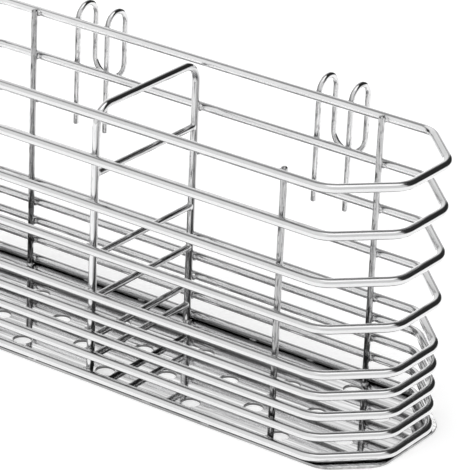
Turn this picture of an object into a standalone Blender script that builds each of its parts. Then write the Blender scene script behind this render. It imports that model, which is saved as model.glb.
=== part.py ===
"""Cutlery drainer: a welded wire basket over a punched base plate.

Nine closed rings of thick wire are stacked over the plate, wide apart at the
top and close together at the bottom. Four uprights and a divider tie them
together from inside, and two double hooks are welded behind them, so that the
drainer hangs on a rail or stands on its plate. Lengths are in metres, +Z is
up and +Y is the back. The origin is under the middle of the whole footprint.
"""

import math

import bpy
from mathutils import Vector

# Rings, measured on the wire's centre line
RING_LENGTH = 0.2772
RING_DEPTH = 0.0779
RING_CHAMFER = 0.0230
RING_BEND = 0.0125
RING_WIRE = 0.0040
WIDE_PITCH = 0.0207
WIDE_GAPS = 4
CLOSE_PITCH = 0.00943
CLOSE_GAPS = 4

# Weld clearance between any two pieces that are welded where they cross
WELD_GAP = 0.0003

# Base plate, with the drain holes in staggered columns, pitched by shares of its length and depth
PLATE_THICKNESS = 0.0012
PLATE_LENGTH = 0.2791
PLATE_DEPTH = 0.0794
PLATE_CHAMFER = 0.0182
PLATE_BEND = 0.0130
HOLE_DIAMETER = 0.0080
HOLE_COLUMN_SHARE = 0.0824
HOLE_ROW_SHARE = 0.3463
HOLE_COLUMNS_EACH_SIDE = 5
HOLE_ROWS = 3

# Uprights, inside the rings near both ends
UPRIGHT_WIRE = 0.0028
UPRIGHT_SPREAD = 0.1854

# Divider: an upturned U of wire with cross wires between its legs
DIVIDER_WIRE = 0.0035
DIVIDER_OFFSET = -0.0026
DIVIDER_RISE = 0.0007
DIVIDER_BEND = 0.0085
RUNG_WIRE = 0.0030
RUNG_DROP_SHARES = (0.241, 0.554, 0.719, 0.873, 0.952)

# Hooks: one wire makes two arches, joined behind by a sideways U
HOOK_WIRE = 0.0025
HOOK_SPREAD = 0.1297
HOOK_OFFSET = -0.0005
HOOK_LEG_SPACING = 0.0164
HOOK_THROAT = 0.0104
HOOK_RISE = 0.0061
HOOK_FRONT_DROP = 0.0498
HOOK_REAR_DROP = 0.0286

# Facets: sides round a wire, steps in a bend, and sides of a hole
WIRE_BEVEL_STEPS = 2
RING_BEND_STEPS = 4
DIVIDER_BEND_STEPS = 6
HOOK_BEND_STEPS = 10
HOLE_SIDES = 16

# Sizes that follow from the ones above
HOLE_COLUMN_PITCH = PLATE_LENGTH * HOLE_COLUMN_SHARE
HOLE_ROW_PITCH = PLATE_DEPTH * HOLE_ROW_SHARE
HOOK_ARCH = (HOOK_THROAT + HOOK_WIRE) / 2
HOOK_U = HOOK_LEG_SPACING / 2
BASE_LEVEL = PLATE_THICKNESS + WELD_GAP + RING_WIRE / 2
STACK_HEIGHT = CLOSE_GAPS * CLOSE_PITCH + WIDE_GAPS * WIDE_PITCH
TOP_LEVEL = BASE_LEVEL + STACK_HEIGHT
STUD_FOOT = PLATE_THICKNESS + WELD_GAP
HOOK_FRONT_Y = RING_DEPTH / 2 + RING_WIRE / 2 + WELD_GAP + HOOK_WIRE / 2
HOOK_REAR_Y = HOOK_FRONT_Y + 2 * HOOK_ARCH
FRONT_REACH = RING_DEPTH / 2 + RING_WIRE / 2
REAR_REACH = HOOK_REAR_Y + HOOK_WIRE / 2
MIDDLE_Y = (FRONT_REACH - REAR_REACH) / 2

# Finish of each kind of piece: colour, roughness
RING_FINISH = ((0.60, 0.60, 0.604), 0.15)
UPRIGHT_FINISH = ((0.56, 0.56, 0.563), 0.18)
DIVIDER_FINISH = ((0.60, 0.60, 0.604), 0.12)
RUNG_FINISH = ((0.52, 0.52, 0.523), 0.10)
HOOK_FINISH = ((0.62, 0.62, 0.624), 0.14)
PLATE_FINISH = ((0.60, 0.60, 0.603), 0.10)


def clear_scene():
    for obj in list(bpy.data.objects):
        bpy.data.objects.remove(obj, do_unlink=True)


def steel(name, finish):
    """Bare polished metal."""
    colour, roughness = finish
    material = bpy.data.materials.new(name)
    material.use_nodes = True
    shader = material.node_tree.nodes["Principled BSDF"]
    shader.inputs["Base Color"].default_value = (*colour, 1)
    shader.inputs["Roughness"].default_value = roughness
    shader.inputs["Metallic"].default_value = 1
    material.diffuse_color = (*colour, 1)
    return material


def arc(centre, across, along, radius, start, end, steps):
    """Points on an arc, its angles measured from the across direction to the along one."""
    points = []
    for step in range(steps + 1):
        angle = start + (end - start) * step / steps
        points.append(centre + radius * (math.cos(angle) * across + math.sin(angle) * along))
    return points


def bent(corners, radius, steps, closed):
    """A run of straight lines through the corners, with each inner corner bent to the radius."""
    points = []
    for index, corner in enumerate(corners):
        if not closed and index in (0, len(corners) - 1):
            points.append(corner)
            continue
        back = (corners[index - 1] - corner).normalized()
        ahead = (corners[(index + 1) % len(corners)] - corner).normalized()
        half_angle = back.angle(ahead) / 2
        middle = (back + ahead).normalized()
        centre = corner + middle * (radius / math.sin(half_angle))
        sweep = math.pi / 2 - half_angle
        side = (ahead - middle * ahead.dot(middle)).normalized()
        points += arc(centre, -middle, side, radius, -sweep, sweep, steps)
    return points


def octagon(length, depth, chamfer, level):
    """Corners of a rectangle whose own corners are cut at 45 degrees, anticlockwise from above."""
    half_length = length / 2
    half_depth = depth / 2
    short_length = half_length - chamfer
    short_depth = half_depth - chamfer
    return [
        Vector((short_length, -half_depth, level)),
        Vector((half_length, -short_depth, level)),
        Vector((half_length, short_depth, level)),
        Vector((short_length, half_depth, level)),
        Vector((-short_length, half_depth, level)),
        Vector((-half_length, short_depth, level)),
        Vector((-half_length, -short_depth, level)),
        Vector((-short_length, -half_depth, level)),
    ]


class Drainer:
    """The collection and the empty that every piece belongs to."""

    def __init__(self, name):
        self.collection = bpy.data.collections.new(name)
        bpy.context.scene.collection.children.link(self.collection)
        self.root = bpy.data.objects.new(name + "_origin", None)
        self.root.location = (0, MIDDLE_Y, 0)
        self.collection.objects.link(self.root)

    def add(self, name, curve, material):
        curve.materials.append(material)
        obj = bpy.data.objects.new(name, curve)
        obj.parent = self.root
        self.collection.objects.link(obj)
        return obj

    def wire(self, name, points, diameter, material, closed=False):
        """A round wire along a run of points, with its ends closed."""
        curve = bpy.data.curves.new(name, "CURVE")
        curve.dimensions = "3D"
        curve.bevel_depth = diameter / 2
        curve.bevel_resolution = WIRE_BEVEL_STEPS
        curve.use_fill_caps = not closed
        add_spline(curve, points, closed)
        return self.add(name, curve, material)

    def sheet(self, name, outlines, thickness, material):
        """A flat sheet on the ground plane. The first outline is its edge and the others are holes."""
        curve = bpy.data.curves.new(name, "CURVE")
        curve.dimensions = "2D"
        curve.fill_mode = "BOTH"
        curve.extrude = thickness / 2
        for outline in outlines:
            add_spline(curve, outline, True)
        obj = self.add(name, curve, material)
        obj.location.z = thickness / 2
        return obj


def add_spline(curve, points, closed):
    spline = curve.splines.new("POLY")
    spline.points.add(len(points) - 1)
    for knot, point in zip(spline.points, points):
        knot.co = (*point, 1)
    spline.use_cyclic_u = closed
    spline.use_smooth = curve.dimensions == "3D"


def ring_levels():
    """Heights of the ring centres, from the top ring down."""
    levels = [TOP_LEVEL - WIDE_PITCH * gap for gap in range(WIDE_GAPS + 1)]
    levels += [levels[-1] - CLOSE_PITCH * (gap + 1) for gap in range(CLOSE_GAPS)]
    return levels


def ring_names():
    """The top ring, the wide spaced ones under it, the close spaced ones, and the one on the plate."""
    names = ["top_ring"]
    names += [f"side_ring_{gap + 1}" for gap in range(WIDE_GAPS)]
    names += [f"low_ring_{gap + 1}" for gap in range(CLOSE_GAPS - 1)]
    names.append("base_ring")
    return names


def add_rings(drainer):
    material = steel("ring_wire_steel", RING_FINISH)
    for name, level in zip(ring_names(), ring_levels()):
        corners = octagon(RING_LENGTH, RING_DEPTH, RING_CHAMFER, level)
        points = bent(corners, RING_BEND, RING_BEND_STEPS, True)
        drainer.wire(name, points, RING_WIRE, material, closed=True)


def inside_y(wire):
    """Distance from the basket's middle to the centre of a wire welded inside a long bar."""
    return (RING_DEPTH - RING_WIRE - wire) / 2 - WELD_GAP


def add_uprights(drainer):
    material = steel("upright_wire_steel", UPRIGHT_FINISH)
    top = TOP_LEVEL + RING_WIRE / 2
    y = inside_y(UPRIGHT_WIRE)
    x = UPRIGHT_SPREAD / 2
    places = {
        "upright_front_left": (-x, -y),
        "upright_front_right": (x, -y),
        "upright_back_left": (-x, y),
        "upright_back_right": (x, y),
    }
    for name, (across, along) in places.items():
        ends = [Vector((across, along, STUD_FOOT)), Vector((across, along, top))]
        drainer.wire(name, ends, UPRIGHT_WIRE, material)


def add_divider(drainer):
    material = steel("divider_frame_steel", DIVIDER_FINISH)
    y = inside_y(DIVIDER_WIRE)
    top = TOP_LEVEL + DIVIDER_RISE
    corners = [
        Vector((DIVIDER_OFFSET, -y, STUD_FOOT)),
        Vector((DIVIDER_OFFSET, -y, top)),
        Vector((DIVIDER_OFFSET, y, top)),
        Vector((DIVIDER_OFFSET, y, STUD_FOOT)),
    ]
    points = bent(corners, DIVIDER_BEND, DIVIDER_BEND_STEPS, False)
    drainer.wire("divider_frame", points, DIVIDER_WIRE, material)


def add_rungs(drainer):
    """Thin cross wires, butted between the divider's legs."""
    material = steel("rung_wire_steel", RUNG_FINISH)
    end = inside_y(DIVIDER_WIRE) - DIVIDER_WIRE / 2 - WELD_GAP
    for number, share in enumerate(RUNG_DROP_SHARES, start=1):
        level = TOP_LEVEL - STACK_HEIGHT * share
        ends = [Vector((DIVIDER_OFFSET, -end, level)), Vector((DIVIDER_OFFSET, end, level))]
        drainer.wire(f"divider_rung_{number}", ends, RUNG_WIRE, material)


def hook_points(middle):
    """Up the first leg, back over its arch, round the U behind, and forward over the second arch."""
    x_axis = Vector((1, 0, 0))
    y_axis = Vector((0, 1, 0))
    z_axis = Vector((0, 0, 1))
    left = middle - HOOK_U
    right = middle + HOOK_U
    arch_y = HOOK_FRONT_Y + HOOK_ARCH
    spring = TOP_LEVEL + HOOK_RISE - HOOK_ARCH
    foot = TOP_LEVEL - HOOK_FRONT_DROP
    u_level = TOP_LEVEL - HOOK_REAR_DROP + HOOK_U
    steps = HOOK_BEND_STEPS
    half_turn = math.pi
    turn = 2 * half_turn
    points = [Vector((left, HOOK_FRONT_Y, foot))]
    points += arc(Vector((left, arch_y, spring)), y_axis, z_axis, HOOK_ARCH, half_turn, 0, steps)
    points += arc(Vector((middle, HOOK_REAR_Y, u_level)), x_axis, z_axis, HOOK_U, half_turn, turn, steps)
    points += arc(Vector((right, arch_y, spring)), y_axis, z_axis, HOOK_ARCH, 0, half_turn, steps)
    points.append(Vector((right, HOOK_FRONT_Y, foot)))
    return points


def add_hooks(drainer):
    material = steel("hook_wire_steel", HOOK_FINISH)
    for name, side in (("hook_left", -1), ("hook_right", 1)):
        points = hook_points(HOOK_OFFSET + side * HOOK_SPREAD / 2)
        drainer.wire(name, points, HOOK_WIRE, material)


def drain_holes():
    """Columns of three holes alternate with columns of two, half a row pitch apart."""
    holes = []
    x_axis = Vector((1, 0, 0))
    y_axis = Vector((0, 1, 0))
    for column in range(-HOLE_COLUMNS_EACH_SIDE, HOLE_COLUMNS_EACH_SIDE + 1):
        rows = HOLE_ROWS - column % 2
        for row in range(rows):
            x = column * HOLE_COLUMN_PITCH
            y = (row - (rows - 1) / 2) * HOLE_ROW_PITCH
            turn = 2 * math.pi
            rim = arc(Vector((x, y, 0)), x_axis, y_axis, HOLE_DIAMETER / 2, 0, turn, HOLE_SIDES)
            holes.append(rim[:-1])
    return holes


def add_base_plate(drainer):
    material = steel("base_plate_steel", PLATE_FINISH)
    corners = octagon(PLATE_LENGTH, PLATE_DEPTH, PLATE_CHAMFER, 0)
    edge = bent(corners, PLATE_BEND, RING_BEND_STEPS, True)
    drainer.sheet("base_plate", [edge] + drain_holes(), PLATE_THICKNESS, material)


def main():
    clear_scene()
    drainer = Drainer("cutlery_drainer")
    add_base_plate(drainer)
    add_rings(drainer)
    add_uprights(drainer)
    add_divider(drainer)
    add_rungs(drainer)
    add_hooks(drainer)
    bpy.context.view_layer.update()


main()
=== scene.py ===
import math
import bpy
import numpy as np
from mathutils import Matrix, Vector
from mathutils.geometry import delaunay_2d_cdt


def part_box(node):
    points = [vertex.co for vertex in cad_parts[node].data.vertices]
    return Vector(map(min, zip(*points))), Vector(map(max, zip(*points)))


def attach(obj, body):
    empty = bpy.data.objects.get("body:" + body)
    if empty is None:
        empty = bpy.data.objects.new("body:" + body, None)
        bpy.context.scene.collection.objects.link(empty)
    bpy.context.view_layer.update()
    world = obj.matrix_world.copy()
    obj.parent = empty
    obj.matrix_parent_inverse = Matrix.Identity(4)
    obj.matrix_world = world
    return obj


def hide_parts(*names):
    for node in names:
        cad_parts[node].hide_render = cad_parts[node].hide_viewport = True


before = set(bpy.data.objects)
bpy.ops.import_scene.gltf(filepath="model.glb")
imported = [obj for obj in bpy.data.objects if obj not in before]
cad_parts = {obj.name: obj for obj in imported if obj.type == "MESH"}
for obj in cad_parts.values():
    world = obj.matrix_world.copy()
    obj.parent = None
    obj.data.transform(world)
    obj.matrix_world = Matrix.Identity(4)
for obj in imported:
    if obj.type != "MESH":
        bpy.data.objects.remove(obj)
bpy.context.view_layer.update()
scene = bpy.context.scene
scene.view_settings.view_transform = "Standard"
print("frame loaded,", len(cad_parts), "nodes")


def unit(vectors):
    # every row divided by its own length
    return vectors / np.linalg.norm(vectors, axis=-1, keepdims=True)


def middleOf(node):
    # centre of a CAD node's box, in metres
    low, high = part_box(node)
    return (np.array(low) + np.array(high)) / 2


def addNode(tree, kind, values=(), **settings):
    # one shader node, with plain settings and values for its sockets
    made = tree.nodes.new(kind)
    for key, value in settings.items():
        setattr(made, key, value)
    for socket, value in dict(values).items():
        made.inputs[socket].default_value = value
    return made


def feed(tree, value, socket):
    # joins another node's socket to this one, or writes a plain value into it
    if isinstance(value, bpy.types.NodeSocket):
        tree.links.new(value, socket)
    else:
        socket.default_value = value


def mathNode(tree, operation, *inputs):
    # a Math node whose inputs are sockets or plain numbers
    made = addNode(tree, "ShaderNodeMath", operation=operation)
    for place, value in enumerate(inputs):
        feed(tree, value, made.inputs[place])
    return made.outputs[0]


def product(tree, first, *others):
    for other in others:
        first = mathNode(tree, "MULTIPLY", first, other)
    return first


def added(tree, base, value, factor):
    # the base, plus the value times the factor
    return mathNode(tree, "MULTIPLY_ADD", value, factor, base)


def restOf(tree, share):
    # one less the share
    return mathNode(tree, "SUBTRACT", 1.0, share)


def blend(tree, share, low, high):
    # low, plus the share of the way from low to high
    return added(tree, low, share, mathNode(tree, "SUBTRACT", high, low))


def smoothStep(tree, value, low, high, outLow=0.0, outHigh=1.0):
    # runs softly from outLow to outHigh while the value runs from low to high
    made = addNode(tree, "ShaderNodeMapRange", {
        "From Min": low, "From Max": high, "To Min": outLow, "To Max": outHigh,
    }, interpolation_type="SMOOTHSTEP")
    tree.links.new(value, made.inputs["Value"])
    return made.outputs["Result"]


def along(tree, vector, direction):
    # dot product of a vector socket with a fixed direction
    made = addNode(tree, "ShaderNodeVectorMath", {1: direction}, operation="DOT_PRODUCT")
    tree.links.new(vector, made.inputs[0])
    return made.outputs["Value"]


def stretched(tree, vector, factors):
    made = addNode(tree, "ShaderNodeVectorMath", {1: factors}, operation="MULTIPLY")
    tree.links.new(vector, made.inputs[0])
    return made.outputs[0]


def noise(tree, vector, factors, detail, roughness):
    # a noise that repeats this many times a metre in each direction
    made = addNode(tree, "ShaderNodeTexNoise", {"Scale": 1.0, "Detail": detail, "Roughness": roughness})
    tree.links.new(stretched(tree, vector, factors), made.inputs["Vector"])
    return made.outputs["Fac"]


def partsOf(tree, vector):
    made = addNode(tree, "ShaderNodeSeparateXYZ")
    tree.links.new(vector, made.inputs[0])
    return made.outputs


def scaledColour(tree, colour, factor):
    made = addNode(tree, "ShaderNodeVectorMath", operation="SCALE")
    feed(tree, colour, made.inputs[0])
    tree.links.new(factor, made.inputs["Scale"])
    return made.outputs[0]


def mixedColour(tree, share, first, second):
    made = addNode(tree, "ShaderNodeMix", data_type="RGBA")
    tree.links.new(share, made.inputs["Factor"])
    feed(tree, first, made.inputs["A"])
    feed(tree, second, made.inputs["B"])
    return made.outputs["Result"]


def newGroup(name, inputs, outputs):
    # an empty shader group, with named sockets: (name, kind, default)
    group = bpy.data.node_groups.new(name, "ShaderNodeTree")
    for label, kind, default in inputs:
        socket = group.interface.new_socket(name=label, in_out="INPUT", socket_type=kind)
        if default is not None:
            socket.default_value = default
    for label, kind in outputs:
        group.interface.new_socket(name=label, in_out="OUTPUT", socket_type=kind)
    return group, group.nodes.new("NodeGroupInput"), group.nodes.new("NodeGroupOutput")


camera = dict(
    turn=34.790,       # degrees round from the front, towards the right
    tilt=24.474,       # degrees above the horizon
    roll=2.608,        # degrees, because the photographed basket leans a little
    lens=251.22,       # mm
    sensor=36,         # mm
    distance=1.4198,   # m from the point it looks at
    aim=(0.0266, 0.01964, 0.05429),
    clip=(0.01, 50),   # m, the nearest and the farthest that it sees
)


def makeCamera():
    turn, tilt, roll = (math.radians(camera[key]) for key in ("turn", "tilt", "roll"))
    back = Vector((math.sin(turn) * math.cos(tilt), -math.cos(turn) * math.cos(tilt), math.sin(tilt)))
    right = Vector((math.cos(turn), math.sin(turn), 0))
    up = back.cross(right)
    rolledRight = math.cos(roll) * right + math.sin(roll) * up
    rolledUp = math.cos(roll) * up - math.sin(roll) * right
    data = bpy.data.cameras.new("photoCamera")
    data.sensor_width = camera["sensor"]
    data.lens = camera["lens"]
    data.clip_start, data.clip_end = camera["clip"]
    holder = bpy.data.objects.new("photoCamera", data)
    scene.collection.objects.link(holder)
    turned = Matrix((rolledRight, rolledUp, back)).transposed().to_4x4()
    holder.matrix_world = Matrix.Translation(Vector(camera["aim"]) + back * camera["distance"]) @ turned
    scene.camera = holder


makeCamera()


# three numbers are a direction or a plane's normal, and an edge is where along it the brightness changes
studio = dict(
    front=1.13,          # brightness of the room in front, as polished steel sees it
    rightFront=0.98,     # the same on the right
    rightEdge=(0.1, 0.6),
    overhead=1.75,       # soft light above, nearly straight up
    overheadAim=(0.22, -0.05, 0.974),
    overheadEdge=(0.90, 0.94),
    leftPanel=1.14,      # white panel behind on the left
    panelTop=(-0.8126, -0.0711, -0.5780),
    panelEnd=(-0.9563, -0.2924, 0.0),
    panelEdge=0.04,
    standAim=(-0.409, 0.857, 0.312),   # something dark stands before the panel's end
    standEdge=(0.9914, 0.9972),
    standClear=0.30,     # the share of the panel that still shows through it
    dark=0.035,          # unlit room behind, on the right and over the panel
    darkRight=(-0.1392, 0.9903, 0.0),
    darkLeft=(-0.4226, 0.9063, 0.0),
    darkEdge=0.1,
    darkHigh=0.36,       # the same room high on the left
    leftEdge=(0.0, 0.3),
    highEdge=(0.45, 0.7),
)


def makeWorld():
    # brightness by direction: an overhead light and a left panel in a room that is dark at the back right
    world = bpy.data.worlds.new("studioRoom")
    scene.world = world
    world.use_nodes = True
    tree = world.node_tree
    tree.nodes.clear()
    direction = addNode(tree, "ShaderNodeTexCoord").outputs["Generated"]

    def towards(aim, low, high, outLow=0.0, outHigh=1.0):
        return smoothStep(tree, along(tree, direction, aim), low, high, outLow, outHigh)

    soft, darkSoft = studio["panelEdge"], studio["darkEdge"]
    underTop = towards(studio["panelTop"], -soft / 2, soft / 2)
    leftOfEnd = towards(studio["panelEnd"], -soft, soft)
    behind = towards((0, 1, 0), -soft, soft)
    clear = towards(studio["standAim"], *studio["standEdge"], 1.0, studio["standClear"])
    panel = product(tree, underTop, leftOfEnd, behind, clear)
    onRight, onLeft = (towards(studio[key], -darkSoft, darkSoft) for key in ("darkRight", "darkLeft"))
    unlit = mathNode(tree, "MAXIMUM", onRight, onLeft)
    rightward = towards((1, 0, 0), *studio["rightEdge"])
    front = smoothStep(tree, rightward, 0, 1, studio["front"], studio["rightFront"])
    leftward, high = towards((-1, 0, 0), *studio["leftEdge"]), towards((0, 0, 1), *studio["highEdge"])
    dark = smoothStep(tree, product(tree, leftward, high), 0, 1, studio["dark"], studio["darkHigh"])
    # the panel over the room, then the overhead light over both, and plain white for the camera
    withPanel = blend(tree, panel, blend(tree, unlit, front, dark), studio["leftPanel"])
    overhead = towards(studio["overheadAim"], *studio["overheadEdge"])
    whole = blend(tree, overhead, withPanel, studio["overhead"])
    seen = addNode(tree, "ShaderNodeLightPath").outputs["Is Camera Ray"]
    shine = addNode(tree, "ShaderNodeBackground", {"Color": (1, 1, 1, 1)})
    tree.links.new(blend(tree, seen, whole, 1.0), shine.inputs["Strength"])
    out = addNode(tree, "ShaderNodeOutputWorld")
    tree.links.new(shine.outputs[0], out.inputs["Surface"])


floorLook = dict(
    radius=3.0,        # m
    sides=96,
    drop=0.0002,       # m that it lies under the basket
    shade=0.80,        # how much of the floor's colour answers to light and shadow
    rough=0.9,
    glow=0.46,         # the rest of its white for the camera
    glossGlow=0.84,    # and for reflections
)


def makeFloor():
    # a disc: the radius times the cosine and the sine of even angles
    turns = np.linspace(0, 2 * math.pi, floorLook["sides"], endpoint=False)
    rim = floorLook["radius"] * np.stack([np.cos(turns), np.sin(turns), 0 * turns], 1)
    mesh = bpy.data.meshes.new("studioFloor")
    mesh.from_pydata(rim.tolist(), [], [list(range(len(rim)))])
    floor = bpy.data.objects.new("studioFloor", mesh)
    floor.location.z = -floorLook["drop"]
    scene.collection.objects.link(floor)
    look = bpy.data.materials.new("paleFloor")
    look.use_nodes = True
    tree = look.node_tree
    shader = tree.nodes["Principled BSDF"]
    shade = floorLook["shade"]
    shader.inputs["Base Color"].default_value = (shade, shade, shade, 1)
    shader.inputs["Roughness"].default_value = floorLook["rough"]
    shader.inputs["Specular IOR Level"].default_value = 0.0
    shader.inputs["Emission Color"].default_value = (1, 1, 1, 1)
    rays = addNode(tree, "ShaderNodeLightPath")
    toCamera = product(tree, rays.outputs["Is Camera Ray"], floorLook["glow"])
    toGloss = product(tree, rays.outputs["Is Glossy Ray"], floorLook["glossGlow"])
    tree.links.new(mathNode(tree, "ADD", toCamera, toGloss), shader.inputs["Emission Strength"])
    mesh.materials.append(look)


makeWorld()
makeFloor()
print("studio made")


drawnMarks = dict(
    # each noise: its repeats in a metre along the wire and twice across it, its detail and its roughness
    lines=((60, 4200, 4200), 3.0, 0.60),
    clouds=((90, 260, 260), 4.0, 0.55),
    stains=((300, 1150, 1150), 3.0, 0.60),
    stainEdge=(0.555, 0.61),
    heatStains=0.12,     # stains come more often near a weld
    nearFloorStains=0.10,     # and near the floor
    pits=(900, 1500, 1500),
    pitEdge=(0.22, 0.10),
    lineTone=0.30,
    cloudTone=0.25,
    pitTone=-0.10,
    heatTint=0.55,
    lineRough=0.20,
    cloudRough=0.10,
    heatRough=0.16,
    leastRough=0.05,
    cloudHeight=0.5,     # as a share of the lines' height
    pitHeight=-0.6,
)


def makeDrawnSteelGroup():
    # marks of drawn and polished wire: lines along the wire, small pits, cloudy patches and stains
    tree, given, out = newGroup("drawnSteelMarks", [
        ("Place", "NodeSocketVector", None),
        ("Heat", "NodeSocketFloat", 0.0),
        ("Near Floor", "NodeSocketFloat", 0.0),
        ("Tone", "NodeSocketFloat", 1.0),
        ("Base Color", "NodeSocketColor", (0.8, 0.8, 0.8, 1)),
        ("Roughness", "NodeSocketFloat", 0.12),
        ("Line Strength", "NodeSocketFloat", 1.0),
        ("Cloud Strength", "NodeSocketFloat", 1.0),
        ("Stain Strength", "NodeSocketFloat", 0.0),
        ("Heat Colour", "NodeSocketColor", (0.34, 0.34, 0.345, 1)),
    ], [("Color", "NodeSocketColor"), ("Roughness", "NodeSocketFloat"), ("Height", "NodeSocketFloat")])
    place, heat = given.outputs["Place"], given.outputs["Heat"]
    lines = noise(tree, place, *drawnMarks["lines"])
    clouds = noise(tree, place, *drawnMarks["clouds"])
    lineTone = product(tree, mathNode(tree, "SUBTRACT", lines, 0.5), given.outputs["Line Strength"])
    cloudTone = product(tree, mathNode(tree, "SUBTRACT", clouds, 0.5), given.outputs["Cloud Strength"])
    pits = addNode(tree, "ShaderNodeTexVoronoi", {"Scale": 1.0})
    tree.links.new(stretched(tree, place, drawnMarks["pits"]), pits.inputs["Vector"])
    pitMask = smoothStep(tree, pits.outputs["Distance"], *drawnMarks["pitEdge"])
    # stains: dark dashes a few millimetres long, thickest near the welds and near the floor
    likely = added(tree, noise(tree, place, *drawnMarks["stains"]), heat, drawnMarks["heatStains"])
    likely = added(tree, likely, given.outputs["Near Floor"], drawnMarks["nearFloorStains"])
    stains = smoothStep(tree, likely, *drawnMarks["stainEdge"])
    stains = product(tree, stains, given.outputs["Stain Strength"])
    # roughness: base, plus lines and clouds, plus the dull ring that a weld leaves
    rough = added(tree, given.outputs["Roughness"], lineTone, drawnMarks["lineRough"])
    rough = added(tree, rough, cloudTone, drawnMarks["cloudRough"])
    rough = added(tree, rough, heat, drawnMarks["heatRough"])
    rough = mathNode(tree, "MAXIMUM", rough, drawnMarks["leastRough"])
    # colour: slightly darker in lines and pits, nearly black in stains, greyed by heat, and scaled by the
    # tone, which carries painted light
    tone = added(tree, 1.0, lineTone, drawnMarks["lineTone"])
    tone = added(tree, tone, cloudTone, drawnMarks["cloudTone"])
    tone = added(tree, tone, pitMask, drawnMarks["pitTone"])
    tone = product(tree, tone, restOf(tree, stains), given.outputs["Tone"])
    heatShare = product(tree, heat, drawnMarks["heatTint"])
    tinted = mixedColour(tree, heatShare, given.outputs["Base Color"], given.outputs["Heat Colour"])
    height = added(tree, lines, clouds, drawnMarks["cloudHeight"])
    height = added(tree, height, pitMask, drawnMarks["pitHeight"])
    tree.links.new(scaledColour(tree, tinted, tone), out.inputs["Color"])
    tree.links.new(rough, out.inputs["Roughness"])
    tree.links.new(height, out.inputs["Height"])
    return tree


drawnSteel = makeDrawnSteelGroup()

paintedLightInReflections = dict(
    # painted light in reflections: the share of its light that steel loses when it is seen in other steel, a
    # painted shade, where below 0 is a gain, a painted highlight
    wireTop=-0.35,
    wireUnder=0.78,
    plate=0.40,
)

wireFinish = dict(
    nearFloorLevels=(0.012, 0.075),   # m above the floor, from the level with the most stains to the level with the fewest
    stainEdge=(0.6, -0.2),       # how far a side faces right, from the least stained to the most
    leastStains=0.35,
    darkReflectionSoft=12,               # degrees by which a painted dark reflection's edge is soft either way
    darkReflectionLevels=(0.02, 0.10),   # m above the floor, where the painted dark reflections are strongest and weakest
    darkReflectionGains=(1.45, 0.84),
    underEdge=(-0.95, -0.3),     # how far a side faces up, from the underside to the rest
    blue=1.006,                  # steel is a little bluer than grey
    bumpDepth=0.0002,
)

# darkReflection: a painted dark reflection, a stripe along the wire, on the side that faces this many
# degrees from
# +X towards +Y, with half its width in degrees and its strength
wireLooks = dict(
    ringWireSteel=dict(colour=0.60, rough=0.15, lines=0.6, clouds=0.6, stains=0.0, bump=0.02),
    uprightWireSteel=dict(
        colour=0.50, rough=0.11, lines=1.0, clouds=0.9, stains=0.9, bump=0.04, darkReflection=(-68, 20, 0.27)),
    dividerWireSteel=dict(
        colour=0.60, rough=0.08, lines=0.6, clouds=0.6, stains=0.15, bump=0.02, darkReflection=(-29, 19, 0.55)),
    rungWireSteel=dict(colour=0.52, rough=0.08, lines=1.0, clouds=1.0, stains=0.35, bump=0.02),
    hookWireSteel=dict(
        colour=0.60, rough=0.11, lines=0.8, clouds=0.8, stains=0.95, bump=0.03, darkReflection=(-104, 35, 0.48)),
    weldMetal=dict(colour=0.58, rough=0.12, lines=0.3, clouds=1.5, stains=0.3, bump=0.05),
)


def newSteel(name):
    # a metal material: itself, its tree and its shader
    made = bpy.data.materials.new(name)
    made.use_nodes = True
    shader = made.node_tree.nodes["Principled BSDF"]
    shader.inputs["Metallic"].default_value = 1
    return made, made.node_tree, shader


def finishSteel(tree, shader, colour, paintedReflectionLoss, rough, height, bump):
    # the colour, less the lost share where a glossy ray sees it, which paints shade and highlight into the
    # steel's reflections, then the roughness and the bump
    mirrored = addNode(tree, "ShaderNodeLightPath").outputs["Is Glossy Ray"]
    kept = restOf(tree, product(tree, mirrored, paintedReflectionLoss))
    tree.links.new(scaledColour(tree, colour, kept), shader.inputs["Base Color"])
    tree.links.new(rough, shader.inputs["Roughness"])
    raised = addNode(tree, "ShaderNodeBump", {"Strength": bump, "Distance": wireFinish["bumpDepth"]})
    tree.links.new(height, raised.inputs["Height"])
    tree.links.new(raised.outputs["Normal"], shader.inputs["Normal"])


def darkReflectionTone(tree, normal, level, turn, half, strength):
    # painted dark reflection: 1 away from the stripe; on it, less its strength, which falls off with the
    # level
    aim = (math.cos(math.radians(turn)), math.sin(math.radians(turn)), 0)
    edge = [math.cos(math.radians(half + side * wireFinish["darkReflectionSoft"])) for side in (1, -1)]
    paintedDark = smoothStep(tree, along(tree, normal, aim), *edge, 0.0, strength)
    gain = smoothStep(tree, level, *wireFinish["darkReflectionLevels"], *wireFinish["darkReflectionGains"])
    return restOf(tree, product(tree, paintedDark, gain))


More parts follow.
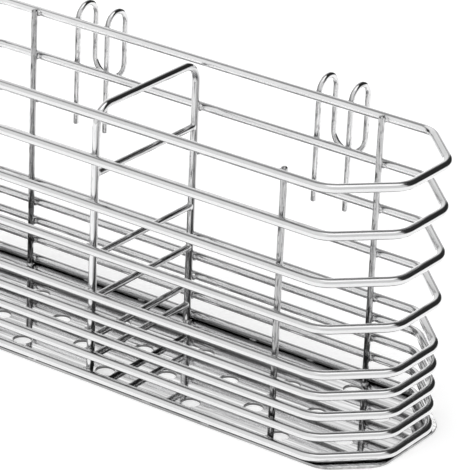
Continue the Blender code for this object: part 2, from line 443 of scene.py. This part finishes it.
def makeWireLook(name, look):
    made, tree, shader = newSteel(name)
    place = addNode(tree, "ShaderNodeAttribute", attribute_name="wirePlace").outputs["Vector"]
    heat = addNode(tree, "ShaderNodeAttribute", attribute_name="weldHeat").outputs["Fac"]
    # the wire's tone, which carries the rings' painted highlight and shade
    tone = addNode(tree, "ShaderNodeAttribute", attribute_name="wireToneAndPaintedLight").outputs["Fac"]
    normal = addNode(tree, "ShaderNodeNewGeometry").outputs["Normal"]
    facing = partsOf(tree, normal)
    level = partsOf(tree, addNode(tree, "ShaderNodeTexCoord").outputs["Object"])["Z"]
    nearFloor = smoothStep(tree, level, *wireFinish["nearFloorLevels"], 1.0, 0.0)
    # stains lie on the left side of a wire, and all round it near the floor
    sided = smoothStep(tree, facing["X"], *wireFinish["stainEdge"], wireFinish["leastStains"], 1.0)
    stains = product(tree, mathNode(tree, "MAXIMUM", sided, nearFloor), look["stains"])
    # a painted dark reflection along one side of some wires
    if "darkReflection" in look:
        tone = product(tree, tone, darkReflectionTone(tree, normal, level, *look["darkReflection"]))
    shade = look["colour"]
    marks = addNode(tree, "ShaderNodeGroup", node_tree=drawnSteel)
    for socket, value in {
        "Place": place, "Heat": heat, "Near Floor": nearFloor, "Tone": tone, "Stain Strength": stains,
        "Base Color": (shade, shade, shade * wireFinish["blue"], 1), "Roughness": look["rough"],
        "Line Strength": look["lines"], "Cloud Strength": look["clouds"],
    }.items():
        feed(tree, value, marks.inputs[socket])
    # painted shade on the undersides and painted highlight on the tops, where other steel reflects the wire
    paintedReflectionLoss = smoothStep(tree, facing["Z"], *wireFinish["underEdge"],
                      paintedLightInReflections["wireUnder"], paintedLightInReflections["wireTop"])
    finishSteel(tree, shader, marks.outputs["Color"], paintedReflectionLoss, marks.outputs["Roughness"],
                marks.outputs["Height"], look["bump"])
    return made


looks = {name: makeWireLook(name, look) for name, look in wireLooks.items()}
print("wire finishes made,", len(looks))


basket = dict(
    # m
    length=0.2772, depth=0.0779,   # between the middles of a ring's bars
    chamfer=0.0230, bend=0.0125, bendSteps=14,
    ringWire=0.0040,
    weldGap=0.0003,
    plateTop=0.0012,
    # painted light on the rings, in pairs of a share of the way from the middle to the back, and how bright
    # the rings are there: the photographed bars at the back are brighter than those in front, a painted
    # highlight, and the cut corners there are darker, a painted shade
    ringPaintedLight=((0.35, 1.0), (0.6, 0.86), (0.86, 0.86), (0.96, 1.16)),
)
evenTone = ((0, 1.0),)
sameSpot = 0.001   # m, places nearer than this are one place
middleY = float(middleOf("top_ring")[1])
ringNames = ["top_ring", "side_ring_1", "side_ring_2", "side_ring_3", "side_ring_4",
             "low_ring_1", "low_ring_2", "low_ring_3", "base_ring"]
ringLevels = np.array([middleOf(name)[2] for name in ringNames])
insideContact = (basket["depth"] - basket["ringWire"]) / 2
outsideContact = (basket["depth"] + basket["ringWire"]) / 2
footLevel = basket["plateTop"] + basket["weldGap"]
rightWay = np.array([1.0, 0, 0])


def addPiece(name, corners, faces, smooth, look, replaced=(), place=None, heat=None, tone=evenTone):
    # one mesh object at the origin; place is a vector for each face corner, heat a number for each vertex,
    # and tone how bright the finish is, with any painted highlight and shade, in pairs as the rings' painted
    # light
    mesh = bpy.data.meshes.new(name)
    mesh.from_pydata(corners.tolist(), [], faces)
    mesh.polygons.foreach_set("use_smooth", np.asarray(smooth, bool))
    if place is not None:
        layer = mesh.attributes.new("wirePlace", "FLOAT_VECTOR", "CORNER")
        layer.data.foreach_set("vector", place.astype(np.float32).ravel())
    if heat is not None:
        layer = mesh.attributes.new("weldHeat", "FLOAT", "POINT")
        layer.data.foreach_set("value", heat.astype(np.float32))
        layer = mesh.attributes.new("wireToneAndPaintedLight", "FLOAT", "POINT")
        shares, tones = zip(*tone)
        depthShare = (corners[:, 1] - middleY) / (basket["depth"] / 2)
        layer.data.foreach_set("value", np.interp(depthShare, shares, tones).astype(np.float32))
    mesh.materials.append(looks[look])
    mesh.update()
    piece = bpy.data.objects.new(name, mesh)
    scene.collection.objects.link(piece)
    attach(piece, "root")
    if replaced:
        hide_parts(*replaced)
    return piece


def ringQuads(rings, around, closed=False):
    # faces between each ring of corners and the next ring: this corner and the next one round, then the same
    # two in the next ring, the other way round
    i, j = np.meshgrid(np.arange(rings if closed else rings - 1), np.arange(around), indexing="ij")
    nextI, nextJ = (i + 1) % rings, (j + 1) % around
    quads = [i * around + j, i * around + nextJ, nextI * around + nextJ, nextI * around + j]
    return np.stack(quads, -1).reshape(-1, 4)


def bendCorners(corners, radius, steps):
    # each corner of a closed run gives way to an arc: from its centre, the radius times the cosine outwards
    # and the radius times the sine forwards
    back = unit(np.roll(corners, 1, 0) - corners)
    ahead = unit(np.roll(corners, -1, 0) - corners)
    inward = unit(back + ahead)
    halfAngle = np.arccos(np.clip((back * ahead).sum(1), -1, 1)) / 2
    centre = corners + inward * (radius / np.sin(halfAngle))[:, None]
    forward = unit(ahead - inward * (ahead * inward).sum(1)[:, None])
    turn = (math.pi / 2 - halfAngle)[:, None] * np.linspace(-1, 1, steps + 1)
    arcs = -np.cos(turn)[..., None] * inward[:, None] + np.sin(turn)[..., None] * forward[:, None]
    return centre[:, None] + radius * arcs


def octagonPath(length, depth, chamfer, bend, steps, level):
    # rectangle with corners cut at 45 degrees and bent, from the middle of the back bar round to the left
    x, y = length / 2, depth / 2
    shortX, shortY = x - chamfer, y - chamfer
    flat = [(-shortX, y), (-x, shortY), (-x, -shortY), (-shortX, -y),
            (shortX, -y), (x, -shortY), (x, shortY), (shortX, y)]
    corners = np.array([(a, b + middleY, level) for a, b in flat])
    arcs = bendCorners(corners, bend, steps).reshape(-1, 3)
    return np.vstack([[(0, y + middleY, level)], arcs])


wireMesh = dict(
    sides=36,            # round each wire
    endSteps=6,          # in the rounding of a cut end
    endEdge=0.00045,     # m, that rounding
    stationsByWeld=(-0.006, -0.0035, -0.002, -0.001, 0, 0.001, 0.002, 0.0035, 0.006),
    leastStep=0.0002,    # m between two stations
    stationDigits=6,     # stations are rounded to a micrometre
    heatReach=0.0020,
)


def distancesAlong(path):
    # 0, and then the sum of the steps so far
    return np.concatenate([[0], np.cumsum(np.linalg.norm(np.diff(path, axis=0), axis=1))])


def addStations(path, side, points, closed):
    # more stations on the path, either way from the places that lie nearest to the points
    run = np.vstack([path, path[:1]]) if closed else path
    sides = np.vstack([side, side[:1]]) if closed else side
    at = distancesAlong(run)
    more = np.zeros(0)
    if len(points):
        start, step = run[:-1], np.diff(run, axis=0)
        toPoint = points[:, None] - start[None]
        share = np.clip((toPoint * step).sum(-1) / (step * step).sum(-1), 0, 1)
        gap = np.linalg.norm(toPoint - share[..., None] * step, axis=-1)
        best = gap.argmin(1)
        marks = at[best] + share[np.arange(len(points)), best] * np.diff(at)[best]
        more = (marks[:, None] + np.array(wireMesh["stationsByWeld"])[None]).ravel()
        more = more[(more > at[0]) & (more < at[-1])]
        more = more[np.abs(more[:, None] - at[None]).min(1) > wireMesh["leastStep"]]
    every = np.unique(np.round(np.concatenate([at, more]), wireMesh["stationDigits"]))
    every[-1] = at[-1]
    newPath = np.stack([np.interp(every, at, run[:, k]) for k in range(3)], 1)
    newSide = unit(np.stack([np.interp(every, at, sides[:, k]) for k in range(3)], 1))
    if closed:
        return newPath[:-1], newSide[:-1], every
    return newPath, newSide, every


def heatNear(corners, points, reach):
    # one at a weld, and e to the power of less the square of distance over reach further off
    if not len(points):
        return np.zeros(len(corners))
    gap = np.linalg.norm(corners[:, None] - points[None], axis=-1).min(1)
    return np.exp(-(gap / reach) ** 2)


def roundedEnds(path, side, radius, edge, steps):
    # the end stations of an open wire: each stands back by the edge times one less the sine, and its radius
    # is smaller by the edge times one less the cosine
    turn = np.linspace(0, math.pi / 2, steps + 1)
    back = edge * (1 - np.sin(turn))
    shrink = edge * (1 - np.cos(turn))
    head = path[0] + unit(path[1] - path[0]) * back[::-1, None]
    tail = path[-1] - unit(path[-1] - path[-2]) * back[:, None]
    newPath = np.vstack([head, path[1:-1], tail])
    newSide = np.vstack([np.repeat(side[:1], steps + 1, 0), side[1:-1], np.repeat(side[-1:], steps + 1, 0)])
    radii = np.concatenate([radius - shrink[::-1], np.full(len(path) - 2, radius), radius - shrink])
    return newPath, newSide, radii


def addWire(name, path, side, diameter, look, welds=(), closed=False, tone=evenTone,
            endEdge=wireMesh["endEdge"]):
    # a circle carried along the path: the radius times the cosine sideways, and times the sine across
    welds = np.asarray(welds, float).reshape(-1, 3)
    path, side, at = addStations(path, side, welds, closed)
    radius = diameter / 2
    radii = np.full(len(path), radius)
    if closed:
        step = np.roll(path, -1, 0) - np.roll(path, 1, 0)
    else:
        ends = wireMesh["endSteps"]
        path, side, radii = roundedEnds(path, side, radius, endEdge, ends)
        at = distancesAlong(path)
        step = np.gradient(path, axis=0)
        step[:ends + 1] = path[ends] - path[0]
        step[-ends - 1:] = path[-1] - path[-1 - ends]
    ahead = unit(step)
    side = unit(side - ahead * (side * ahead).sum(1)[:, None])
    across = np.cross(ahead, side)
    count, sides = len(path), wireMesh["sides"]
    turn = np.linspace(0, 2 * math.pi, sides, endpoint=False)
    circle = np.cos(turn)[None, :, None] * side[:, None] + np.sin(turn)[None, :, None] * across[:, None]
    corners = (path[:, None] + radii[:, None, None] * circle).reshape(-1, 3)
    faces = ringQuads(count, sides, closed).tolist()

    def spot(distance, theta):
        # a place in the drawn steel: the distance along the wire, and where round it
        return np.stack([distance, radius * np.cos(theta), radius * np.sin(theta)], -1)

    # the places of the faces' corners, in the faces' order
    here, there = (np.repeat(part[:, None], sides, 1) for part in (at[:-1], at[1:]))
    angle = np.tile(turn, (len(here), 1))
    nextAngle = angle + 2 * math.pi / sides
    spots = [spot(here, angle), spot(here, nextAngle), spot(there, nextAngle), spot(there, angle)]
    place = np.stack(spots, 2).reshape(-1, 3)
    if not closed:
        # flat ends: a fan from a middle point
        middles = len(corners) + np.arange(2)
        corners = np.vstack([corners, path[0], path[-1]])
        ring = np.arange(sides)
        nextRing = (ring + 1) % sides
        last = (count - 1) * sides
        faces += np.stack([np.full(sides, middles[0]), nextRing, ring], 1).tolist()
        faces += np.stack([np.full(sides, middles[1]), last + ring, last + nextRing], 1).tolist()
        nearRim, farRim = (spot(np.full(sides, at[end]), turn) for end in (0, -1))
        hub = np.zeros((sides, 3))
        place = np.vstack([
            place,
            np.stack([hub, nearRim[nextRing], nearRim], 1).reshape(-1, 3),
            np.stack([hub + [at[-1], 0, 0], farRim, farRim[nextRing]], 1).reshape(-1, 3),
        ])
    heat = heatNear(corners, welds, wireMesh["heatReach"])
    return addPiece(name, corners, faces, np.ones(len(faces), bool), look, [name], place, heat, tone)


def insideY(wire):
    # how far from the basket's middle a wire stands that is welded inside the long bars
    return insideContact - wire / 2 - basket["weldGap"]


def crossings(xs, y, levels):
    # every x with every level, at one y
    x, z = np.meshgrid(np.asarray(xs, float), levels, indexing="ij")
    return np.stack([x.ravel(), np.full(x.size, y + middleY), z.ravel()], 1)


def weldsInside(xs, levels):
    # on the inner sides of the front bars and then of the back bars
    return np.vstack([crossings(xs, side * insideContact, levels) for side in (-1, 1)])


uprights = dict(
    wire=0.0028,
    spread=0.1854,
    endEdge=0.0009,
    # the photographed uprights aren't equally dull
    tones=dict(front_left=0.70, front_right=0.85, back_left=0.80, back_right=0.94),
)
uprightX = [-uprights["spread"] / 2, uprights["spread"] / 2]
uprightWelds = weldsInside(uprightX, ringLevels)


def addUprights():
    top = ringLevels[0] + basket["ringWire"] / 2
    for place, tone in uprights["tones"].items():
        x = uprightX[1] if place.endswith("right") else uprightX[0]
        side = 1 if place.startswith("back") else -1
        y = side * insideY(uprights["wire"]) + middleY
        path = np.array([(x, y, footLevel), (x, y, top)])
        sameSide = np.sign(uprightWelds[:, 1] - middleY) == side
        mine = uprightWelds[(abs(uprightWelds[:, 0] - x) < sameSpot) & sameSide]
        addWire("upright_" + place, path, np.tile(rightWay, (2, 1)), uprights["wire"], "uprightWireSteel",
                mine, tone=((0, tone),), endEdge=uprights["endEdge"])


divider = dict(
    wire=0.0035,
    offset=-0.0026,
    bend=0.0085, bendSteps=14,
    rungWire=0.0030, rungs=5,
    tones=((0, 1.0), (0.75, 0.88)),   # its back leg is duller, in pairs as the rings' tones
)
# the top ring isn't touched, because the divider has bent away from it there
dividerWelds = weldsInside([divider["offset"]], ringLevels[1:])
rungNames = [f"divider_rung_{number + 1}" for number in range(divider["rungs"])]
rungLevels = [middleOf(name)[2] for name in rungNames]


def addDivider():
    y = insideY(divider["wire"])
    x = divider["offset"]
    top = float(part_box("divider_frame")[1][2]) - divider["wire"] / 2
    corners = np.array([(x, -y, footLevel), (x, -y, top), (x, y, top), (x, y, footLevel)]) + [0, middleY, 0]
    arcs = bendCorners(corners, divider["bend"], divider["bendSteps"])[1:3].reshape(-1, 3)
    path = np.vstack([corners[:1], arcs, corners[3:]])
    addWire("divider_frame", path, np.tile(rightWay, (len(path), 1)), divider["wire"], "dividerWireSteel",
            dividerWelds, tone=divider["tones"])
    end = y - divider["wire"] / 2 - basket["weldGap"]
    for name, level in zip(rungNames, rungLevels):
        path = np.array([(x, middleY - end, level), (x, middleY + end, level)])
        addWire(name, path, np.tile(rightWay, (2, 1)), divider["rungWire"], "rungWireSteel",
                path)


hooks = dict(
    wire=0.0025,
    spread=0.1297, offset=-0.0005,
    legSpacing=0.0164,
    throat=0.0104,
    rise=0.0061, frontDrop=0.0498, rearDrop=0.0286,   # from the top ring's middle
    bendSteps=24,
    weldedRings=3,
)
hookMiddles = dict(
    hook_left=hooks["offset"] - hooks["spread"] / 2,
    hook_right=hooks["offset"] + hooks["spread"] / 2,
)
hookLegs = [middle + side * hooks["legSpacing"] / 2 for middle in hookMiddles.values() for side in (-1, 1)]
hookWelds = crossings(hookLegs, outsideContact, ringLevels[:hooks["weldedRings"]])


def addHooks():
    # up the front leg, over the arch, round the U behind, and back over the second arch
    arch = (hooks["throat"] + hooks["wire"]) / 2
    half = hooks["legSpacing"] / 2
    top = ringLevels[0]
    spring = top + hooks["rise"] - arch
    foot = top - hooks["frontDrop"]
    uLevel = top - hooks["rearDrop"] + half
    legY = outsideContact + basket["weldGap"] + hooks["wire"] / 2 + middleY
    turn = np.linspace(0, math.pi, hooks["bendSteps"] + 1)
    sweep = np.stack([0 * turn, -arch * np.cos(turn), arch * np.sin(turn)], 1)
    rear = np.full(len(turn), legY + 2 * arch)
    # the side direction turns with the wire round the U, so that the mesh doesn't twist
    straightSide = np.tile(rightWay, (len(turn) + 1, 1))
    turnSide = np.stack([np.cos(turn), 0 * turn, np.sin(turn)], 1)
    sides = np.vstack([straightSide, turnSide, -straightSide])
    for name, middle in hookMiddles.items():
        firstArch = sweep + [middle - half, legY + arch, spring]
        rearU = np.stack([middle - half * np.cos(turn), rear, uLevel - half * np.sin(turn)], 1)
        lastArch = sweep[::-1] + [middle + half, legY + arch, spring]
        feet = [[(middle + side * half, legY, foot)] for side in (-1, 1)]
        path = np.vstack([feet[0], firstArch, rearU, lastArch, feet[1]])
        mine = hookWelds[np.abs(hookWelds[:, 0] - middle) < hooks["legSpacing"]]
        addWire(name, path, sides, hooks["wire"], "hookWireSteel", mine)


def addRings():
    every = np.vstack([uprightWelds, dividerWelds, hookWelds])
    shape = [basket[key] for key in ("length", "depth", "chamfer", "bend", "bendSteps")]
    for name, level in zip(ringNames, ringLevels):
        path = octagonPath(*shape, level)
        mine = every[np.abs(every[:, 2] - level) < sameSpot]
        addWire(name, path, np.tile([0, 0, 1.0], (len(path), 1)), basket["ringWire"], "ringWireSteel",
                mine, closed=True, tone=basket["ringPaintedLight"])


addUprights()
addDivider()
addHooks()
addRings()
print("wires made")


plateLook = dict(
    colour=0.60, blue=1.005, rough=0.035, leastRough=0.02,
    anisotropy=0.3, bump=0.03,
    grain=((24, 650, 650), 3.0, 0.65),     # as the noises of the drawn steel, with X along the plate
    grainTone=2.2, grainRough=0.08,
    clouds=((45, 120, 120), 4.0, 0.50),
    cloudTone=0.20, cloudRough=0.05,
    topEdge=(0.4, 0.8),       # how far a face looks up, from the edges to the top
    cutColour=0.13,           # the punched edges are dull, and stay dark down to their foot as painted shadow where they meet the floor
    cutRough=0.38,
    outerCut=0.25,            # the share of that dullness on the outer edge
    ringShadowBand=(0.00072, 0.00156),   # m from the base ring's middle line, across the edge of the painted shadow under it
    ringShadowBandTone=0.36,
    rim=(0.0001, 0.0007),     # m outwards from that middle line, where the plate's rim begins
    paintedRimLights=(-0.38, 0.25),   # painted light on the rim: its edge darker, a painted shade, and its top brighter, a painted highlight, than the rest
)


def pastRing(tree, where):
    # distance outwards from the base ring's middle line: the largest of the distances past its bars, its
    # ends and its cut corners
    spot = partsOf(tree, where)
    halfX, halfY = basket["length"] / 2, basket["depth"] / 2
    x = mathNode(tree, "ABSOLUTE", spot["X"])
    y = mathNode(tree, "ABSOLUTE", mathNode(tree, "SUBTRACT", spot["Y"], middleY))
    pastEnds = mathNode(tree, "SUBTRACT", x, halfX)
    pastBars = mathNode(tree, "SUBTRACT", y, halfY)
    pastCuts = mathNode(tree, "SUBTRACT", mathNode(tree, "ADD", x, y), halfX + halfY - basket["chamfer"])
    past = mathNode(tree, "MAXIMUM", pastEnds, pastBars)
    return mathNode(tree, "MAXIMUM", past, product(tree, pastCuts, math.sqrt(0.5)))


def makePlateLook():
    # brushed sheet: fine lines along the plate, cloudy wear, and a painted shadow under the base ring
    made, tree, shader = newSteel("plateSheetSteel")
    shader.inputs["Anisotropic"].default_value = plateLook["anisotropy"]
    where = addNode(tree, "ShaderNodeTexCoord").outputs["Object"]
    grain = noise(tree, where, *plateLook["grain"])
    grainTone = mathNode(tree, "SUBTRACT", grain, 0.5)
    cloudTone = mathNode(tree, "SUBTRACT", noise(tree, where, *plateLook["clouds"]), 0.5)
    tone = added(tree, 1.0, grainTone, plateLook["grainTone"])
    tone = added(tree, tone, cloudTone, plateLook["cloudTone"])
    past = pastRing(tree, where)
    up = partsOf(tree, addNode(tree, "ShaderNodeNewGeometry").outputs["Normal"])["Z"]
    onTop = smoothStep(tree, up, *plateLook["topEdge"])
    onRim = smoothStep(tree, past, *plateLook["rim"])
    # the painted shadow under the base ring, on the top face and inwards from the rim
    distance = mathNode(tree, "ABSOLUTE", past)
    paintedDark = smoothStep(tree, distance, *plateLook["ringShadowBand"], 1.0 - plateLook["ringShadowBandTone"], 0.0)
    tone = product(tree, tone, restOf(tree, product(tree, paintedDark, onTop, restOf(tree, onRim))))
    # painted shade on the rim's edge and painted highlight on its top
    paintedRimLight = smoothStep(tree, up, *plateLook["topEdge"], *plateLook["paintedRimLights"])
    tone = product(tree, tone, added(tree, 1.0, onRim, paintedRimLight))
    cut = addNode(tree, "ShaderNodeAttribute", attribute_name="dullCutAndFootShade").outputs["Fac"]
    rough = added(tree, plateLook["rough"], grainTone, plateLook["grainRough"])
    rough = added(tree, rough, cloudTone, plateLook["cloudRough"])
    rough = mathNode(tree, "MAXIMUM", rough, plateLook["leastRough"])
    rough = added(tree, rough, cut, plateLook["cutRough"])
    shade, dull = plateLook["colour"], plateLook["cutColour"]
    sheet = scaledColour(tree, (shade, shade, shade * plateLook["blue"]), tone)
    # the dull punched edges, with painted shadow at their foot
    colour = mixedColour(tree, cut, sheet, (dull, dull, dull, 1))
    # painted shade where other steel reflects the plate, except on its rim
    paintedReflectionLoss = product(tree, restOf(tree, onRim), paintedLightInReflections["plate"])
    finishSteel(tree, shader, colour, paintedReflectionLoss, rough, grain, plateLook["bump"])
    return made


looks["plateSheetSteel"] = makePlateLook()

plate = dict(
    # m, and shares of the length and depth
    length=0.2791, depth=0.0794, chamfer=0.0182, bend=0.0130, bendSteps=14, thickness=0.0012,
    hole=0.0080, holeSides=48, columnPitchShare=0.0824, rowPitchShare=0.3463, columnsEachSide=5, rows=3,
    topEdge=0.00025, holeEdge=0.00045, lowEdge=0.00012, edgeSteps=5,   # how far the edges are rounded
    sameCorner=1e-7,   # corners nearer than this are one corner
)


def holeMiddles():
    # columns of three holes alternate with columns of two
    columnPitch = plate["length"] * plate["columnPitchShare"]
    rowPitch = plate["depth"] * plate["rowPitchShare"]
    middles = []
    for column in range(-plate["columnsEachSide"], plate["columnsEachSide"] + 1):
        rows = plate["rows"] - column % 2
        y = (np.arange(rows) - (rows - 1) / 2) * rowPitch
        middles.append(np.stack([np.full(rows, column * columnPitch), y + middleY], 1))
    return np.vstack(middles)


def rimProfile(top):
    # inset and height round the sheet's edge, from the top face down to the underside
    turn = np.linspace(0, math.pi / 2, plate["edgeSteps"] + 1)
    low, thick = plate["lowEdge"], plate["thickness"]
    upper = np.stack([top * (1 - np.sin(turn)), thick - top * (1 - np.cos(turn))], 1)
    lower = np.stack([low * (1 - np.cos(turn)), low * (1 - np.sin(turn))], 1)
    return np.vstack([upper, lower])


def flatTriangles(points, sizes):
    # a flat face between an outline and the holes, whose rings follow each other in the points, sizes long
    edges, first = [], 0
    for size in sizes:
        ids = np.arange(size) + first
        edges += np.stack([ids, np.roll(ids, -1)], 1).tolist()
        first += size
    drawn = delaunay_2d_cdt([Vector(p) for p in points], edges, [], 1, plate["sameCorner"])
    spots, _, triangles, origins, _, _ = drawn
    source = np.array([ids[0] for ids in origins])
    triangles = np.array(triangles)
    middles = np.array([tuple(spot) for spot in spots])[triangles].mean(1)
    # a hole's top ring lies outside its wall, by the rounding
    reach = (plate["hole"] / 2 + plate["holeEdge"]) * math.cos(math.pi / plate["holeSides"])
    overHole = (np.linalg.norm(middles[:, None] - holeMiddles()[None], axis=-1) < reach).any(1)
    triangles = source[triangles[~overHole]]
    a, b, c = (points[triangles[:, k]] for k in range(3))
    clockwise = ((b - a)[:, 0] * (c - a)[:, 1] - (b - a)[:, 1] * (c - a)[:, 0]) < 0
    triangles[clockwise] = triangles[clockwise][:, ::-1]
    return triangles


def addPlate():
    # the profile of an edge carried round the outline and round each hole, and two flat faces between them
    outerProfile, holeProfile = rimProfile(plate["topEdge"]), rimProfile(plate["holeEdge"])
    count = len(holeProfile)
    shape = [plate[key] for key in ("length", "depth", "chamfer", "bend", "bendSteps")]
    outline = octagonPath(*shape, 0)[1:, :2]
    step = np.roll(outline, -1, 0) - np.roll(outline, 1, 0)
    inward = unit(np.stack([-step[:, 1], step[:, 0]], 1))
    turn = np.linspace(0, 2 * math.pi, plate["holeSides"], endpoint=False)
    circle = np.stack([np.cos(turn), np.sin(turn)], 1)
    # every loop: its outline at the material's edge, and the way into the material
    loops = [(outline, inward)]
    loops += [(middle + circle * plate["hole"] / 2, circle) for middle in holeMiddles()]
    # 1 on the walls of the holes, a little on the outer edge, and 0 on both faces: a dull cut edge, kept
    # dark down to the walls' foot as painted shadow
    wall = np.clip((plate["thickness"] - holeProfile[:, 1]) / plate["holeEdge"], 0, 1)
    wall[-1] = 0
    corners, faces, tops, cutShares = [], [], [], []
    start = 0
    for number, (line, into) in enumerate(loops):
        size = len(line)
        profile = holeProfile if number else outerProfile
        flat = line[None] + profile[:, :1, None] * into[None]
        heights = np.broadcast_to(profile[:, 1][:, None, None], (count, size, 1))
        corners.append(np.concatenate([flat, heights], -1).reshape(-1, 3))
        cutShares.append(np.repeat(wall * (1.0 if number else plateLook["outerCut"]), size))
        quads = ringQuads(count, size)[:, [0, 3, 2, 1]] + start
        faces += (quads[:, ::-1] if number else quads).tolist()
        tops.append(np.arange(size) + start)
        start += count * size
    corners = np.vstack(corners)
    smooth = [True] * len(faces)
    topIndex = np.concatenate(tops)
    triangles = flatTriangles(corners[topIndex, :2], [len(ring) for ring in tops])
    # the underside's ring of each loop lies (count - 1) rings further on
    drop = np.concatenate([np.full(len(ring), (count - 1) * len(ring)) for ring in tops])
    faces += topIndex[triangles].tolist() + (topIndex + drop)[triangles][:, ::-1].tolist()
    smooth += [False] * (len(faces) - len(smooth))
    piece = addPiece("base_plate", corners, faces, smooth, "plateSheetSteel", ["base_plate"])
    layer = piece.data.attributes.new("dullCutAndFootShade", "FLOAT", "POINT")
    layer.data.foreach_set("value", np.concatenate(cutShares).astype(np.float32))
    # a flat map, whose first direction is the way that the sheet is brushed
    uvs = piece.data.uv_layers.new(name="flat")
    where = np.zeros(len(piece.data.loops), int)
    piece.data.loops.foreach_get("vertex_index", where)
    uvs.data.foreach_set("uv", corners[where, :2].astype(np.float32).ravel())


addPlate()
print("plate made")


nuggets = dict(
    around=20, down=10,
    lump=0.09,             # how lumpy they are, as a share of their size
    lumpTurn=2.4,          # and how far each one's lumps are turned from the last one's
    # m: half its length, depth and height
    upright=(0.0024, 0.0010, 0.0016),
    divider=(0.0028, 0.0011, 0.0018),
    hook=(0.0020, 0.0009, 0.0015),
    tackOnBar=(0.0026, 0.0012, 0.0005),
    tackOnEnd=(0.0012, 0.0026, 0.0005),
    tackX=(-0.062, -0.031, 0.031, 0.062),
    heat=0.2,              # how grey weld metal is, where 1 is the middle of a weld on a wire
)


def weldNuggets(points, size):
    # a lumpy ball at every point: the unit ball at turn u and tilt v times the size, and times one plus the
    # lump times the sine of 3u (each ball from its own phase) times the sine of 2v
    around, down = nuggets["around"], nuggets["down"]
    u = np.linspace(0, 2 * math.pi, around, endpoint=False)[None]
    v = np.linspace(0, math.pi, down + 1)[1:-1, None]
    ball = np.stack([np.sin(v) * np.cos(u), np.sin(v) * np.sin(u), np.cos(v) + 0 * u], -1).reshape(-1, 3)
    phase = nuggets["lumpTurn"] * np.arange(len(points))[:, None, None]
    swell = (1 + nuggets["lump"] * np.sin(3 * u + phase) * np.sin(2 * v)).reshape(len(points), -1, 1)
    poles = np.array([(0, 0, 1.0), (0, 0, -1.0)])
    shape = np.concatenate([ball[None] * swell, np.tile(poles, (len(points), 1, 1))], 1) * size
    quads = ringQuads(down - 1, around)[:, [0, 3, 2, 1]]
    ring = np.arange(around)
    nextRing = (ring + 1) % around
    lastRow = (down - 2) * around
    topPole = len(ball)
    caps = np.vstack([
        np.stack([np.full(around, topPole), ring, nextRing], 1),
        np.stack([np.full(around, topPole + 1), lastRow + nextRing, lastRow + ring], 1),
    ])
    starts = np.arange(len(points))[:, None, None] * (topPole + 2)
    faces = (starts + quads[None]).reshape(-1, 4).tolist() + (starts + caps[None]).reshape(-1, 3).tolist()
    return (points[:, None] + shape).reshape(-1, 3), faces


collars = dict(
    around=28, steps=7,
    footReach=0.0008, rungReach=0.0009, rungSide=0.0001,   # m that they spread on the plate, and on a leg
    sink=0.00008,          # m that their foot lies under the surface
    topShare=0.99,         # their top lies just inside the wire
    legShare=0.97,         # of a leg's radius, past which their foot sinks no more
)


def weldCollar(point, away, up, radius, reachUp, reachSide, legRadius):
    # a flared collar round a wire's end: it is wider by the reach times one less the sine, where it stands
    # off its foot by the reach times one less the cosine, and on a round leg the foot follows the leg
    away, up = np.array(away, float), np.array(up, float)
    across = np.cross(away, up)
    around, steps = collars["around"], collars["steps"]
    u = np.linspace(0, 2 * math.pi, around, endpoint=False)[None]
    t = np.linspace(0, math.pi / 2, steps + 1)[:, None]
    nearFoot = 1 - t / t[-1]
    spread = (reachUp * np.cos(u) ** 2 + reachSide * np.sin(u) ** 2) * (1 - np.sin(t))
    wide = radius * collars["topShare"] + spread
    climb = max(reachUp, reachSide) * (1 - np.cos(t)) - collars["sink"] * nearFoot
    offset = wide * np.sin(u)
    if legRadius:
        held = np.minimum(np.abs(offset), collars["legShare"] * legRadius)
        climb = climb - (legRadius - np.sqrt(legRadius ** 2 - held ** 2)) * nearFoot
    corners = point + (wide * np.cos(u))[..., None] * up + offset[..., None] * across
    corners = corners + (climb + 0 * u)[..., None] * away
    ends = [np.arange(around)[::-1].tolist(), (steps * around + np.arange(around)).tolist()]
    return corners.reshape(-1, 3), ringQuads(steps + 1, around).tolist() + ends


def addWeldPiece(name, parts):
    # the parts' corners and faces as one piece
    starts = np.cumsum([0] + [len(corners) for corners, _ in parts])
    corners = np.vstack([corners for corners, _ in parts])
    faces = [[index + start for index in face] for (_, part), start in zip(parts, starts) for face in part]
    place = corners[np.concatenate([np.asarray(face) for face in faces])]
    smooth = np.array([len(face) < 5 for face in faces])   # all but the collars' flat ends
    heat = np.full(len(corners), nuggets["heat"])
    addPiece(name, corners, faces, smooth, "weldMetal", (), place, heat)


def addWelds():
    up = (0, 0, 1)
    plateTop = basket["plateTop"]

    def footCollar(x, side, wire):
        foot = (x, side * insideY(wire) + middleY, plateTop)
        return weldCollar(foot, up, rightWay, wire / 2, collars["footReach"], collars["footReach"], 0)

    parts = [weldNuggets(uprightWelds, nuggets["upright"])]
    parts += [footCollar(x, side, uprights["wire"]) for x in uprightX for side in (-1, 1)]
    addWeldPiece("upright_welds", parts)
    parts = [weldNuggets(dividerWelds, nuggets["divider"])]
    leg = divider["wire"] / 2
    for side in (-1, 1):
        parts.append(footCollar(divider["offset"], side, divider["wire"]))
        face = side * (insideY(divider["wire"]) - leg) + middleY
        for level in rungLevels:
            end = (divider["offset"], face, level)
            parts.append(weldCollar(end, (0, -side, 0), up, divider["rungWire"] / 2,
                                    collars["rungReach"], collars["rungSide"], leg))
    addWeldPiece("divider_welds", parts)
    addWeldPiece("hook_welds", [weldNuggets(hookWelds, nuggets["hook"])])
    level = plateTop + basket["weldGap"] / 2
    half = basket["depth"] / 2
    onBars = np.vstack([crossings(nuggets["tackX"], side * half, [level]) for side in (-1, 1)])
    onEnds = np.array([(side * basket["length"] / 2, middleY, level) for side in (-1, 1)])
    tacks = [weldNuggets(onBars, nuggets["tackOnBar"]), weldNuggets(onEnds, nuggets["tackOnEnd"])]
    addWeldPiece("plate_tacks", tacks)


addWelds()
print("welds made")
